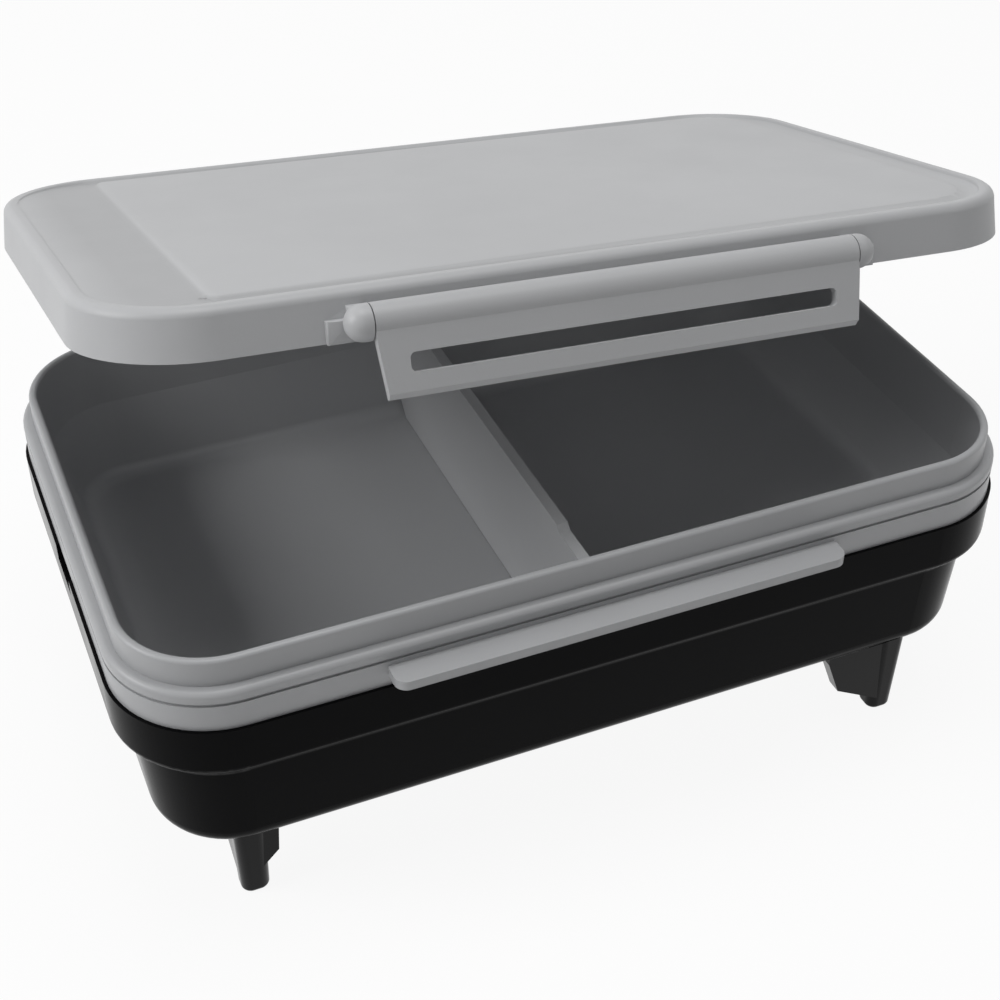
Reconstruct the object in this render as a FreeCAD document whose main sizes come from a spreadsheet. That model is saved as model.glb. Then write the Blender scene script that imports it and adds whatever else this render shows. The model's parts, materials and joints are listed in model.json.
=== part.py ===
import FreeCAD, Part
import math
import operator
import os

import Sketcher

# Electric food warmer: a black heated base on four legs, a grey tub that hangs in it, and a grey
# lift-off lid with a snap latch at the front and the rear. Millimetres, +X right, -Y front, +Z up.
# The origin is on the table, under the middle of the base.
SIZES = {
    # Tub
    "rim_length": 255.0,
    "rim_width": 155.0,
    "rim_corner": 26.0,
    "tub_wall": 2.2,
    "tub_floor": 2.0,
    "tub_stand": 20.0,
    "rim_step_drop": 8.0,
    "rim_edge_round": 1.0,
    "flange_out": 3.0,
    "flange_groove_drop": 3.2,
    "flange_groove_high": 1.0,
    "flange_groove_deep": 0.6,
    "flange_edge_round": 1.6,
    "tub_neck_in": 2.0,
    "tub_foot_in": 8.5,
    "tub_floor_round": 5.0,
    # Keeper ledges that the latches hook under
    "ledge_length": 130.0,
    "ledge_out": 10.5,
    "ledge_drop": 13.6,
    "ledge_thickness": 2.8,
    "ledge_corner": 3.5,
    # Divider between the two compartments
    "divider_offset": -7.0,
    "divider_thickness": 3.2,
    "divider_drop": 2.0,
    "divider_step": 1.6,
    "divider_step_run": 15.0,
    "divider_gap": 0.3,
    # Base shell
    "leg_height": 26.0,
    "base_height": 50.0,
    "band_out": 4.0,
    "band_height": 14.0,
    "step_in": 5.0,
    "step_height": 5.0,
    "body_draft": 2.0,
    "bottom_round": 7.0,
    "band_round": 2.5,
    "edge_round": 0.6,
    "shell_wall": 2.4,
    "notch_width": 17.0,
    "notch_depth": 5.0,
    "notch_corner": 1.5,
    # Legs: four alike, each turned a quarter from the last
    "leg_inset_x": 27.75,
    "leg_inset_y": 10.8,
    "leg_shift_out": 2.5,
    "leg_shift_in": 2.5,
    "leg_top": 9.6,
    "leg_tip": 8.0,
    "leg_tip_round": 1.6,
    "leg_corner": 3.0,
    "leg_web": 4.5,
    "leg_seat_gap": 0.1,
    "long_web_reach": 22.0,
    "long_web_slant": 4.7,
    "long_web_low": 3.8,
    "long_web_high": 13.6,
    "short_web_reach": 8.0,
    "short_web_slant": 0.8,
    "short_web_low": 7.0,
    "short_web_high": 14.5,
    # Bottom cover
    "cover_leg_gap": 3.4,
    "cover_side_in": 17.5,
    "cover_corner": 12.0,
    "cover_thickness": 2.0,
    "cover_overlap": 8.0,
    "cover_screw_y": 40.0,
    "boss_radius": 3.8,
    "boss_height": 9.0,
    "post_radius": 3.0,
    "post_in_x": 12.0,
    "post_in_y": 14.0,
    # Inner well
    "well_gap": 0.3,
    "well_wall": 1.6,
    "well_top_gap": 0.6,
    "bay_height": 16.0,
    # Heating plate and what is under it
    "plate_length": 150.0,
    "plate_width": 90.0,
    "plate_corner": 12.0,
    "plate_thickness": 3.0,
    "plate_round": 0.8,
    "plate_overlap": 10.0,
    "seal_inset": 1.0,
    "seal_width": 7.0,
    "seal_thickness": 0.6,
    "plate_tub_gap": 0.3,
    "heater_spacing": 20.0,
    "heater_width": 20.0,
    "heater_height": 6.0,
    "heater_corner": 1.2,
    "clamp_width": 12.0,
    "clamp_sheet": 0.8,
    "clamp_margin": 4.0,
    "clamp_foot": 9.0,
    "clamp_window_gap": 1.2,
    "window_gap": 3.0,
    "thermostat_radius": 8.0,
    "thermostat_height": 6.0,
    "thermostat_ear": 28.0,
    "thermostat_ear_width": 8.0,
    "thermostat_hole_x": 11.2,
    "thermostat_tab": 4.0,
    "thermostat_tab_x": 4.0,
    "thermostat_tab_reach": 14.0,
    "fuse_radius": 2.2,
    "fuse_length": 28.0,
    "fuse_lead": 8.0,
    "fuse_lead_radius": 0.6,
    "fuse_clip_length": 10.0,
    "fuse_clip_side": 2.0,
    "shield_end_gap": 2.0,
    "shield_side_gap": 8.0,
    "shield_corner": 6.0,
    "shield_thickness": 0.8,
    "shield_stand": 7.2,
    # Inlet, indicator and leads
    "inlet_x": 60.0,
    "inlet_rise": 11.7,
    "inlet_length": 21.0,
    "inlet_height": 12.6,
    "inlet_corner": 4.0,
    "inlet_depth": 17.9,
    "inlet_proud": 1.4,
    "inlet_ear": 3.0,
    "inlet_ear_height": 8.0,
    "inlet_ear_thickness": 2.0,
    "socket_length": 17.6,
    "socket_height": 9.6,
    "socket_corner": 4.6,
    "socket_depth": 13.0,
    "pin_radius": 1.2,
    "pin_spacing": 8.6,
    "pin_length": 22.0,
    "pin_tail": 8.0,
    "lens_x": 38.0,
    "lens_radius": 3.0,
    "lens_flange": 4.2,
    "lens_flange_thickness": 2.0,
    "lens_length": 6.2,
    "lens_wall": 0.8,
    "lamp_length": 9.0,
    "wire_radius": 1.0,
    "wire_rise": 3.7,
    "wire_aisle": 6.3,
    # Lid
    "lid_height": 12.5,
    "lid_skirt": 7.6,
    "lid_top_out": 3.5,
    "lid_low_out": 4.9,
    "lid_gap": 0.9,
    "lid_mouth_gap": 3.2,
    "lid_ceiling": 2.3,
    "lid_round": 2.6,
    "lid_rim": 4.0,
    "lid_recess": 1.2,
    "panel_left": 24.0,
    "panel_right": 7.0,
    "panel_side": 2.4,
    "panel_corner": 17.0,
    "panel_left_corner": 5.0,
    "panel_slope": 2.4,
    "plug_gap": 3.0,
    "plug_wall": 1.8,
    "plug_depth": 2.0,
    "gasket_gap": 0.3,
    "gasket_width": 4.2,
    # Latches and their ears
    "latch_axis_out": 9.4,
    "latch_axis_drop": 7.1,
    "latch_length": 132.6,
    "barrel_radius": 4.6,
    "flap_inset": 1.6,
    "flap_thickness": 2.5,
    "flap_length": 18.9,
    "flap_corner": 1.5,
    "flap_taper": 1.6,
    "slot_length": 117.6,
    "slot_drop": 8.1,
    "slot_height": 4.8,
    "hook_drop": 14.6,
    "hook_reach": 2.0,
    "hook_flat": 1.5,
    "hook_slope": 2.4,
    "latch_pin_radius": 1.5,
    "pin_seat": 4.0,
    "ear_length": 1.6,
    "ear_web": 3.2,
    "bracket_length": 7.8,
    "bracket_out": 1.4,
    "bracket_height": 5.6,
    # Screws
    "screw_radius": 1.45,
    "screw_head_radius": 2.75,
    "screw_head_height": 1.7,
    "plate_screw_depth": 2.2,
    "cover_screw_depth": 7.0,
    # Clearances
    "bore_gap": 0.05,
    "hole_gap": 0.15,
    "part_gap": 0.3,
    "cut_margin": 1.0,
    # Lid as it is held up, turned about a line behind the base, and the latches a little open
    "lift_back": 187.2,
    "lift_drop": 100.0,
    "lift_turn": 16.09,
    "lift_tilt": 0.45,
    "lift_angle": 14.9,
    "latch_open": 12.0,
}

doc = FreeCAD.newDocument("food_warmer")
sheet = doc.addObject("Spreadsheet::Sheet", "sizes")
OPERATIONS = {"+": operator.add, "-": operator.sub, "*": operator.mul, "/": operator.truediv}
nodes = []


class Size:
    """A number with the expression that ties it to the sheet."""

    def __init__(self, text, value):
        self.text = text
        self.value = value

    def __add__(self, other):
        return combine(self, "+", other)

    def __radd__(self, other):
        return combine(other, "+", self)

    def __sub__(self, other):
        return combine(self, "-", other)

    def __rsub__(self, other):
        return combine(other, "-", self)

    def __mul__(self, other):
        return combine(self, "*", other)

    def __rmul__(self, other):
        return combine(other, "*", self)

    def __truediv__(self, other):
        return combine(self, "/", other)

    def __neg__(self):
        return combine(0, "-", self)


def as_size(number):
    """Give a plain number the form of a Size."""
    if isinstance(number, Size):
        return number
    return Size(f"{number}", float(number))


def combine(left, sign, right):
    """Join two sizes with an arithmetic sign."""
    left = as_size(left)
    right = as_size(right)
    return Size(f"({left.text} {sign} {right.text})", OPERATIONS[sign](left.value, right.value))


class Sheet:
    """The sizes by name, each bound to its cell."""


def fill_sheet():
    """Write each size in a cell with its alias, and return the sizes by name."""
    sizes = Sheet()
    for row, (name, number) in enumerate(SIZES.items(), start=1):
        sheet.set(f"A{row}", name)
        sheet.set(f"B{row}", str(number))
        sheet.setAlias(f"B{row}", name)
        setattr(sizes, name, Size(f"sizes.{name}", number))
    doc.recompute()
    return sizes


def bind(feature, field, size):
    """Tie one property of a feature to the sheet."""
    feature.setExpression(field, as_size(size).text)


def keep(feature, label):
    """Name a sub-part and put it on the list of pieces to write."""
    feature.Label = label
    nodes.append(feature)
    return feature


def new_body(label):
    """Start a solid piece that is written under its label."""
    return keep(doc.addObject("PartDesign::Body", label), label)


def attach(feature, body, plane, u, v, level):
    """Put a sketch or primitive on a plane of its body, moved by (u, v) in it and level off it."""
    support = [item for item in body.Origin.OriginFeatures if item.Role == plane][0]
    feature.AttachmentSupport = [(support, "")]
    feature.MapMode = "FlatFace"
    for axis, size in zip("xyz", (u, v, level)):
        bind(feature, f"AttachmentOffset.Base.{axis}", size)


def rounded_rectangle(body, name, plane, length, width, radius, level, u=0, v=0):
    """Sketch a rectangle with round corners about its own middle."""
    sketch = body.newObject("Sketcher::SketchObject", name)
    attach(sketch, body, plane, u, v, level)
    far_u = length.value / 2
    far_v = width.value / 2
    bend = as_size(radius).value
    line_ends = (
        ((-far_u + bend, -far_v), (far_u - bend, -far_v)),
        ((far_u, -far_v + bend), (far_u, far_v - bend)),
        ((far_u - bend, far_v), (-far_u + bend, far_v)),
        ((-far_u, far_v - bend), (-far_u, -far_v + bend)),
    )
    centres = ((1, -1), (1, 1), (-1, 1), (-1, -1))
    for side, (ends, centre) in enumerate(zip(line_ends, centres)):
        start, end = (FreeCAD.Vector(*point, 0) for point in ends)
        sketch.addGeometry(Part.LineSegment(start, end))
        middle = FreeCAD.Vector(centre[0] * (far_u - bend), centre[1] * (far_v - bend), 0)
        circle = Part.Circle(middle, FreeCAD.Vector(0, 0, 1), bend)
        turn = math.radians(90 * (side - 1))
        sketch.addGeometry(Part.ArcOfCircle(circle, turn, turn + math.pi / 2))
    for side in range(4):
        line = 2 * side
        arc = line + 1
        sketch.addConstraint(Sketcher.Constraint("Tangent", line, 2, arc, 1))
        sketch.addConstraint(Sketcher.Constraint("Tangent", arc, 2, (line + 2) % 8, 1))
        sketch.addConstraint(Sketcher.Constraint("Vertical" if side % 2 else "Horizontal", line))
        if side:
            sketch.addConstraint(Sketcher.Constraint("Equal", 1, arc))
    sketch.addConstraint(Sketcher.Constraint("Symmetric", 0, 1, 4, 1, -1, 1))
    tie(sketch, "corner", Sketcher.Constraint("Radius", 1, bend), radius)
    tie(sketch, "across", Sketcher.Constraint("DistanceX", 6, 1, 2, 1, 2 * far_u), length)
    tie(sketch, "along", Sketcher.Constraint("DistanceY", 0, 1, 4, 1, 2 * far_v), width)
    return sketch


def tie(sketch, name, constraint, size):
    """Add a named dimension to a sketch and bind it to the sheet."""
    index = sketch.addConstraint(constraint)
    sketch.renameConstraint(index, name)
    bind(sketch, f"Constraints.{name}", size)


def pin_corner(sketch, corner, field, axis, size):
    """Hold one coordinate of a corner at a size, on either side of the axis."""
    if abs(size.value) < 1e-9:
        sketch.addConstraint(Sketcher.Constraint("PointOnObject", corner, 1, axis))
    elif size.value > 0:
        tie(sketch, f"{field}_{corner}", Sketcher.Constraint(field, -1, 1, corner, 1, size.value), size)
    else:
        tie(sketch, f"{field}_{corner}", Sketcher.Constraint(field, corner, 1, -1, 1, -size.value), -size)


def outline(body, name, plane, corners, level):
    """Sketch a closed outline of straight runs through the corners."""
    sketch = body.newObject("Sketcher::SketchObject", name)
    attach(sketch, body, plane, 0, 0, level)
    sizes = [(as_size(u), as_size(v)) for u, v in corners]
    points = [FreeCAD.Vector(u.value, v.value, 0) for u, v in sizes]
    for start, end in zip(points, points[1:] + points[:1]):
        sketch.addGeometry(Part.LineSegment(start, end))
    for corner, (u, v) in enumerate(sizes):
        following = (corner + 1) % len(sizes)
        sketch.addConstraint(Sketcher.Constraint("Coincident", corner, 2, following, 1))
        pin_corner(sketch, corner, "DistanceX", -2, u)
        pin_corner(sketch, corner, "DistanceY", -1, v)
    return sketch


def loft(body, name, sketches, cut):
    """Join sketches with straight walls, as added or removed material."""
    kind = "PartDesign::SubtractiveLoft" if cut else "PartDesign::AdditiveLoft"
    feature = body.newObject(kind, name)
    feature.Profile = sketches[0]
    feature.Sections = sketches[1:]
    feature.Ruled = True
    return feature


def stack(body, name, sections, cut=False, plane="XY_Plane"):
    """Loft through round-cornered sections: (length, width, radius, level[, u, v]) each."""
    downwards = sorted(sections, key=lambda section: -section[3].value)
    sketches = [rounded_rectangle(body, f"{name}_{number}", plane, *section)
                for number, section in enumerate(downwards)]
    return loft(body, name, sketches, cut)


def prism(body, name, plane, corners, low, high, cut=False):
    """Loft one straight-sided outline from one level of a plane to another."""
    downwards = sorted((low, high), key=lambda level: -level.value)
    sketches = [outline(body, f"{name}_{number}", plane, corners, level)
                for number, level in enumerate(downwards)]
    return loft(body, name, sketches, cut)


def cylinder(body, name, plane, radius, low, high, u=0, v=0, cut=False):
    """Add or remove a round bar between two levels of a plane."""
    kind = "PartDesign::SubtractiveCylinder" if cut else "PartDesign::AdditiveCylinder"
    feature = body.newObject(kind, name)
    attach(feature, body, plane, u, v, low)
    bind(feature, "Radius", radius)
    bind(feature, "Height", as_size(high) - low)
    return feature


def level_edges(shape, level):
    """Name the edges of a shape that lie at one height."""
    names = []
    for number, edge in enumerate(shape.Edges, start=1):
        if all(abs(point.z - level.value) < 1e-4 for point in edge.discretize(3)):
            names.append(f"Edge{number}")
    return names


def round_edges(body, name, level, radius):
    """Round the edges of a body that lie at one height."""
    doc.recompute()
    base = body.Tip
    feature = body.newObject("PartDesign::Fillet", name)
    feature.Base = (base, level_edges(base.Shape, level))
    bind(feature, "Radius", radius)
    return feature


def grown(length, width, radius, out):
    """Give a round-cornered outline offset outwards by one distance."""
    return (length + 2 * out, width + 2 * out, radius + out)


S = fill_sheet()

# Heights from the table up
z_shell = S.leg_height
z_edge = z_shell + S.base_height
z_band = z_edge - S.band_height
z_step = z_band - S.step_height
z_rim = z_edge + S.tub_stand
z_flange = z_rim - S.rim_step_drop
z_cover = z_shell - S.cover_thickness
z_shell_floor = z_shell + S.shell_wall
z_well = z_shell_floor + S.bay_height
z_well_floor = z_well + S.well_wall
z_plate = z_well_floor + S.seal_thickness
z_plate_top = z_plate + S.plate_thickness
z_tub = z_plate_top + S.plate_tub_gap
z_tub_floor = z_tub + S.tub_floor
z_lid = z_rim - S.lid_skirt
z_lid_top = z_lid + S.lid_height
z_ceiling = z_rim + S.lid_ceiling
z_ledge = z_rim - S.ledge_drop
z_latch = z_lid_top - S.latch_axis_drop
z_inlet = z_shell + S.inlet_rise
z_shield = z_shell + S.shield_stand
z_heater = z_plate - S.heater_height
z_wire = z_shield + S.shield_thickness + S.wire_rise
z_fuse = z_plate - S.fuse_radius - S.part_gap


def rim(out):
    """The rim's outline, offset outwards."""
    return grown(S.rim_length, S.rim_width, S.rim_corner, out)


body_out = S.band_out - S.step_in
foot_out = body_out - S.body_draft
rear_face = S.rim_width / 2 + foot_out
leg_x = S.rim_length / 2 - S.leg_inset_x
leg_y = S.rim_width / 2 - S.leg_inset_y
cover_length = 2 * (leg_x - S.long_web_reach - S.cover_leg_gap)
cover_width = S.rim_width - 2 * S.cover_side_in
opening_length = cover_length - 2 * S.cover_overlap
opening_width = cover_width - 2 * S.cover_overlap
cover_screw_x = opening_length / 2 + S.cover_overlap / 2
shield_length = opening_length - 2 * S.shield_end_gap
shield_width = opening_width - 2 * S.shield_side_gap
window_length = S.plate_length - 2 * S.plate_overlap
window_width = S.plate_width - 2 * S.plate_overlap
thermostat_y = window_width / 2 - S.window_gap - S.thermostat_radius
fuse_y = window_width / 2 - S.window_gap - S.fuse_clip_side - S.fuse_radius
clamp_far = window_length / 2 - S.clamp_window_gap
clamp_near = clamp_far - S.clamp_foot - S.clamp_sheet
heater_length = clamp_near - S.clamp_margin - S.heater_spacing / 2
heater_offset = S.heater_spacing / 2 + heater_length / 2


def make_base_shell():
    """Outer housing: drafted body, sloped step, wide band, and the holes in it."""
    body = new_body("base_shell")
    stack(body, "shell_form", [
        (*rim(foot_out), z_shell),
        (*rim(body_out), z_step),
        (*rim(S.band_out), z_band),
        (*rim(S.band_out), z_edge),
    ])
    round_edges(body, "shell_bottom_round", z_shell, S.bottom_round)
    round_edges(body, "shell_band_round", z_band, S.band_round)
    round_edges(body, "shell_step_round", z_step, S.band_round)
    stack(body, "shell_inside", [
        (*rim(foot_out - S.bottom_round), z_shell_floor),
        (*rim(foot_out - S.shell_wall), z_shell + S.bottom_round),
        (*rim(body_out - S.shell_wall), z_step),
        (*rim(S.band_out - S.shell_wall), z_band),
        (*rim(S.band_out - S.shell_wall), z_edge + S.cut_margin),
    ], cut=True)
    opening = (opening_length, opening_width, S.cover_corner)
    stack(body, "shell_opening", [
        (*opening, z_shell - S.cut_margin),
        (*opening, z_shell_floor + S.cut_margin),
    ], cut=True)
    for side in (-1, 1):
        end = "left" if side < 0 else "right"
        notch = (S.shell_wall * 3, S.notch_width, S.notch_corner)
        middle = side * (S.rim_length / 2 + S.band_out)
        stack(body, f"shell_notch_{end}", [
            (*notch, z_edge - S.notch_depth, middle, 0),
            (*notch, z_edge + S.cut_margin, middle, 0),
        ], cut=True)
    for number, (side_x, side_y) in enumerate(CORNERS):
        place = (side_x * cover_screw_x, side_y * S.cover_screw_y)
        boss_top = z_shell_floor + S.boss_height
        cylinder(body, f"shell_boss_{number}", "XY_Plane", S.boss_radius, z_shell, boss_top, *place)
        hole_top = z_shell + S.cover_screw_depth + S.part_gap
        cylinder(body, f"shell_screw_hole_{number}", "XY_Plane", S.screw_radius + S.bore_gap,
                 z_shell - S.cut_margin, hole_top, *place, cut=True)
    hole = (S.inlet_length + 2 * S.hole_gap, S.inlet_height + 2 * S.hole_gap, S.inlet_corner + S.hole_gap)
    inside = -(rear_face - S.bottom_round)
    outside = -(rear_face + S.step_in)
    stack(body, "shell_inlet_hole", [
        (*hole, inside, S.inlet_x, z_inlet),
        (*hole, outside, S.inlet_x, z_inlet),
    ], cut=True, plane="XZ_Plane")
    cylinder(body, "shell_lens_hole", "XZ_Plane", S.lens_radius + S.hole_gap, outside, inside,
             S.lens_x, z_inlet, cut=True)
    return body


CORNERS = ((-1, -1), (1, -1), (1, 1), (-1, 1))
CORNER_NAMES = ("front_left", "front_right", "rear_right", "rear_left")


def leg_seat():
    """The lower outside of the shell with a small gap, which shapes the tops of the legs."""
    body = doc.addObject("PartDesign::Body", "leg_seat")
    low = z_shell - S.leg_seat_gap
    stack(body, "seat_form", [
        (*rim(foot_out + S.leg_seat_gap), low),
        (*rim(body_out + S.leg_seat_gap), z_step),
    ])
    round_edges(body, "seat_round", low, S.bottom_round)
    return body


def leg_web(reach, slant, low, high):
    """Outline of a web: up past the shell's bottom edge, with a sloped end and lower edge."""
    top = z_shell + S.bottom_round
    return ((as_size(0), top), (reach, top), (reach, z_shell), (reach - slant, high), (as_size(0), low))


def make_legs():
    """Four legs: a tapered post with a long and a short web, cut to sit on the shell's bottom edge."""
    seat = leg_seat()
    shift = (-S.leg_shift_out, S.leg_shift_in)
    face = S.leg_tip / 2
    long_web = leg_web(S.long_web_reach, S.long_web_slant, S.long_web_low, S.long_web_high)
    short_web = leg_web(S.short_web_reach, S.short_web_slant, S.short_web_low, S.short_web_high)
    for turn, (name, (side_x, side_y)) in enumerate(zip(CORNER_NAMES, CORNERS)):
        body = doc.addObject("PartDesign::Body", f"leg_form_{name}")
        stack(body, "post", [
            (S.leg_tip, S.leg_tip, S.leg_corner, as_size(0)),
            (S.leg_top, S.leg_top, S.leg_corner, z_shell + S.bottom_round),
        ])
        round_edges(body, "post_tip", as_size(0), S.leg_tip_round)
        prism(body, "web_along", "XZ_Plane", short_web, face, face - S.leg_web)
        prism(body, "web_across", "YZ_Plane", long_web, -face, S.leg_web - face)
        body.Placement.Rotation = FreeCAD.Rotation(FreeCAD.Vector(0, 0, 1), 90 * turn)
        bind(body, "Placement.Base.x", side_x * leg_x + shift[0])
        bind(body, "Placement.Base.y", side_y * leg_y + shift[1])
        leg = doc.addObject("Part::Cut", f"leg_{name}")
        leg.Base = body
        leg.Tool = seat
        keep(leg, f"leg_{name}")
        shift = (-shift[1], shift[0])


def make_bottom_cover():
    """Flat cover under the shell, with the posts that carry the heat shield."""
    body = new_body("bottom_cover")
    plate = (cover_length, cover_width, S.cover_corner)
    stack(body, "cover_plate", [(*plate, z_cover), (*plate, z_shell)])
    round_edges(body, "cover_edge", z_cover, S.edge_round)
    for number, (side_x, side_y) in enumerate(CORNERS):
        cylinder(body, f"cover_post_{number}", "XY_Plane", S.post_radius, z_cover + S.edge_round, z_shield,
                 side_x * (shield_length / 2 - S.post_in_x), side_y * (shield_width / 2 - S.post_in_y))
        cylinder(body, f"cover_hole_{number}", "XY_Plane", S.screw_radius + S.hole_gap,
                 z_cover - S.cut_margin, z_shell + S.cut_margin,
                 side_x * cover_screw_x, side_y * S.cover_screw_y, cut=True)


def bar(name, radius, low, high, x, y):
    """An upright round bar as a primitive of its own."""
    piece = doc.addObject("Part::Cylinder", name)
    bind(piece, "Radius", radius)
    bind(piece, "Height", as_size(high) - low)
    for axis, size in zip("xyz", (x, y, low)):
        bind(piece, f"Placement.Base.{axis}", size)
    return piece


def make_screws(label, seat, depth, places):
    """Pan-head screws that point up, with their heads under a seat."""
    screws = []
    for number, (x, y) in enumerate(places):
        head = bar(f"{label}_head_{number}", S.screw_head_radius, seat - S.screw_head_height, seat, x, y)
        shank = bar(f"{label}_shank_{number}", S.screw_radius, seat - S.screw_head_height / 2, depth, x, y)
        screw = doc.addObject("Part::Fuse", f"{label}_screw_{number}")
        screw.Base = head
        screw.Tool = shank
        screws.append(screw)
    group = doc.addObject("Part::Compound", label)
    group.Links = screws
    keep(group, label)


def make_inner_well():
    """Liner that follows the shell's inside, with a window for the heating plate."""
    body = new_body("inner_well")
    outer = S.shell_wall + S.well_gap
    inner = outer + S.well_wall
    top = z_edge - S.well_top_gap
    stack(body, "well_form", [
        (*rim(foot_out - outer), z_well),
        (*rim(body_out - outer), z_step),
        (*rim(S.band_out - outer), z_band),
        (*rim(S.band_out - outer), top),
    ])
    stack(body, "well_inside", [
        (*rim(foot_out - inner), z_well_floor),
        (*rim(body_out - inner), z_step),
        (*rim(S.band_out - inner), z_band),
        (*rim(S.band_out - inner), top + S.cut_margin),
    ], cut=True)
    window = (window_length, window_width, S.plate_corner)
    stack(body, "well_window", [
        (*window, z_well - S.cut_margin),
        (*window, z_well_floor + S.cut_margin),
    ], cut=True)


def clamp_screw_places():
    """Where the two clamp screws enter the heating plate."""
    return [(side * (clamp_far - S.clamp_foot / 2), as_size(0)) for side in (-1, 1)]


def thermostat_screw_places():
    """Where the two thermostat screws enter the heating plate."""
    return [(side * S.thermostat_hole_x, thermostat_y) for side in (-1, 1)]


def make_heating_plate():
    """Aluminium plate that the tub stands over, on its silicone ring."""
    body = new_body("heating_plate")
    plate = (S.plate_length, S.plate_width, S.plate_corner)
    stack(body, "plate_form", [(*plate, z_plate), (*plate, z_plate_top)])
    round_edges(body, "plate_edge", z_plate_top, S.plate_round)
    for number, place in enumerate(clamp_screw_places() + thermostat_screw_places()):
        cylinder(body, f"plate_hole_{number}", "XY_Plane", S.screw_radius + S.bore_gap,
                 z_plate - S.cut_margin, z_plate + S.plate_screw_depth + S.part_gap, *place, cut=True)
    seal = new_body("plate_seal")
    ring = grown(S.plate_length, S.plate_width, S.plate_corner, -S.seal_inset)
    hole = grown(S.plate_length, S.plate_width, S.plate_corner, -(S.seal_inset + S.seal_width))
    stack(seal, "seal_form", [(*ring, z_well_floor), (*ring, z_plate)])
    stack(seal, "seal_hole", [(*hole, z_well_floor - S.cut_margin), (*hole, z_plate + S.cut_margin)], cut=True)


def make_heaters():
    """Two heating blocks under the plate and the steel strap that holds them."""
    block = (heater_length, S.heater_width, S.heater_corner)
    for side, name in ((-1, "left"), (1, "right")):
        body = new_body(f"ptc_heater_{name}")
        stack(body, "heater_block", [
            (*block, z_heater, side * heater_offset, 0),
            (*block, z_plate, side * heater_offset, 0),
        ])
    body = new_body("heater_clamp")
    sheet_low = z_heater - S.clamp_sheet
    foot_low = z_plate - S.clamp_sheet
    leg_out = clamp_near + S.clamp_sheet
    half = [(clamp_near, z_heater), (clamp_near, z_plate), (clamp_far, z_plate), (clamp_far, foot_low),
            (leg_out, foot_low), (leg_out, sheet_low)]
    strap = half + [(-x, z) for x, z in reversed(half)]
    prism(body, "clamp_strap", "XZ_Plane", strap, -S.clamp_width / 2, S.clamp_width / 2)
    for number, (x, y) in enumerate(clamp_screw_places()):
        cylinder(body, f"clamp_hole_{number}", "XY_Plane", S.screw_radius + S.hole_gap,
                 foot_low - S.clamp_sheet / 2, z_plate + S.cut_margin, x, y, cut=True)
    make_screws("clamp_screws", foot_low, z_plate + S.plate_screw_depth, clamp_screw_places())


def make_thermostat():
    """Disc thermostat with its mounting ears and two terminal tabs."""
    body = new_body("thermostat")
    ear_low = z_plate - S.clamp_sheet
    cylinder(body, "thermostat_disc", "XY_Plane", S.thermostat_radius, z_plate - S.thermostat_height,
             z_plate, 0, thermostat_y)
    ear = (S.thermostat_ear, S.thermostat_ear_width, S.thermostat_ear_width / 4)
    stack(body, "thermostat_ears", [
        (*ear, ear_low, 0, thermostat_y),
        (*ear, z_plate, 0, thermostat_y),
    ])
    for side in (-1, 1):
        tab = (S.thermostat_tab, S.thermostat_tab_reach, S.thermostat_tab / 4)
        tab_low = z_plate - S.thermostat_height + S.clamp_sheet
        middle = (side * S.thermostat_tab_x, thermostat_y + S.thermostat_tab_reach / 2)
        end = "a" if side < 0 else "b"
        stack(body, f"thermostat_tab_{end}", [
            (*tab, tab_low, *middle),
            (*tab, tab_low + S.clamp_sheet, *middle),
        ])
    for number, (x, y) in enumerate(thermostat_screw_places()):
        cylinder(body, f"thermostat_hole_{number}", "XY_Plane", S.screw_radius + S.hole_gap,
                 ear_low - S.cut_margin, z_plate + S.cut_margin, x, y, cut=True)
    make_screws("thermostat_screws", ear_low, z_plate + S.plate_screw_depth, thermostat_screw_places())


def make_thermal_fuse():
    """Fuse capsule with its two leads, in a saddle on the plate."""
    body = new_body("thermal_fuse")
    half = S.fuse_length / 2
    cylinder(body, "fuse_capsule", "YZ_Plane", S.fuse_radius, -half, half, -fuse_y, z_fuse)
    reach = half + S.fuse_lead
    cylinder(body, "fuse_leads", "YZ_Plane", S.fuse_lead_radius, -reach, reach, -fuse_y, z_fuse)
    clip = new_body("fuse_clip")
    saddle = 2 * (S.fuse_radius + S.fuse_clip_side)
    block = (S.fuse_clip_length, saddle, S.fuse_clip_side / 2)
    low = z_fuse - S.fuse_radius - S.fuse_clip_side / 2
    stack(clip, "clip_block", [(*block, low, 0, -fuse_y), (*block, z_plate, 0, -fuse_y)])
    cylinder(clip, "clip_bore", "YZ_Plane", S.fuse_radius + S.bore_gap, -S.fuse_clip_length,
             S.fuse_clip_length, -fuse_y, z_fuse, cut=True)


def make_heat_shield():
    """Sheet on the cover's posts, between the heaters and the bottom."""
    body = new_body("heat_shield")
    plate = (shield_length, shield_width, S.shield_corner)
    stack(body, "shield_sheet", [(*plate, z_shield), (*plate, z_shield + S.shield_thickness)])


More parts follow.
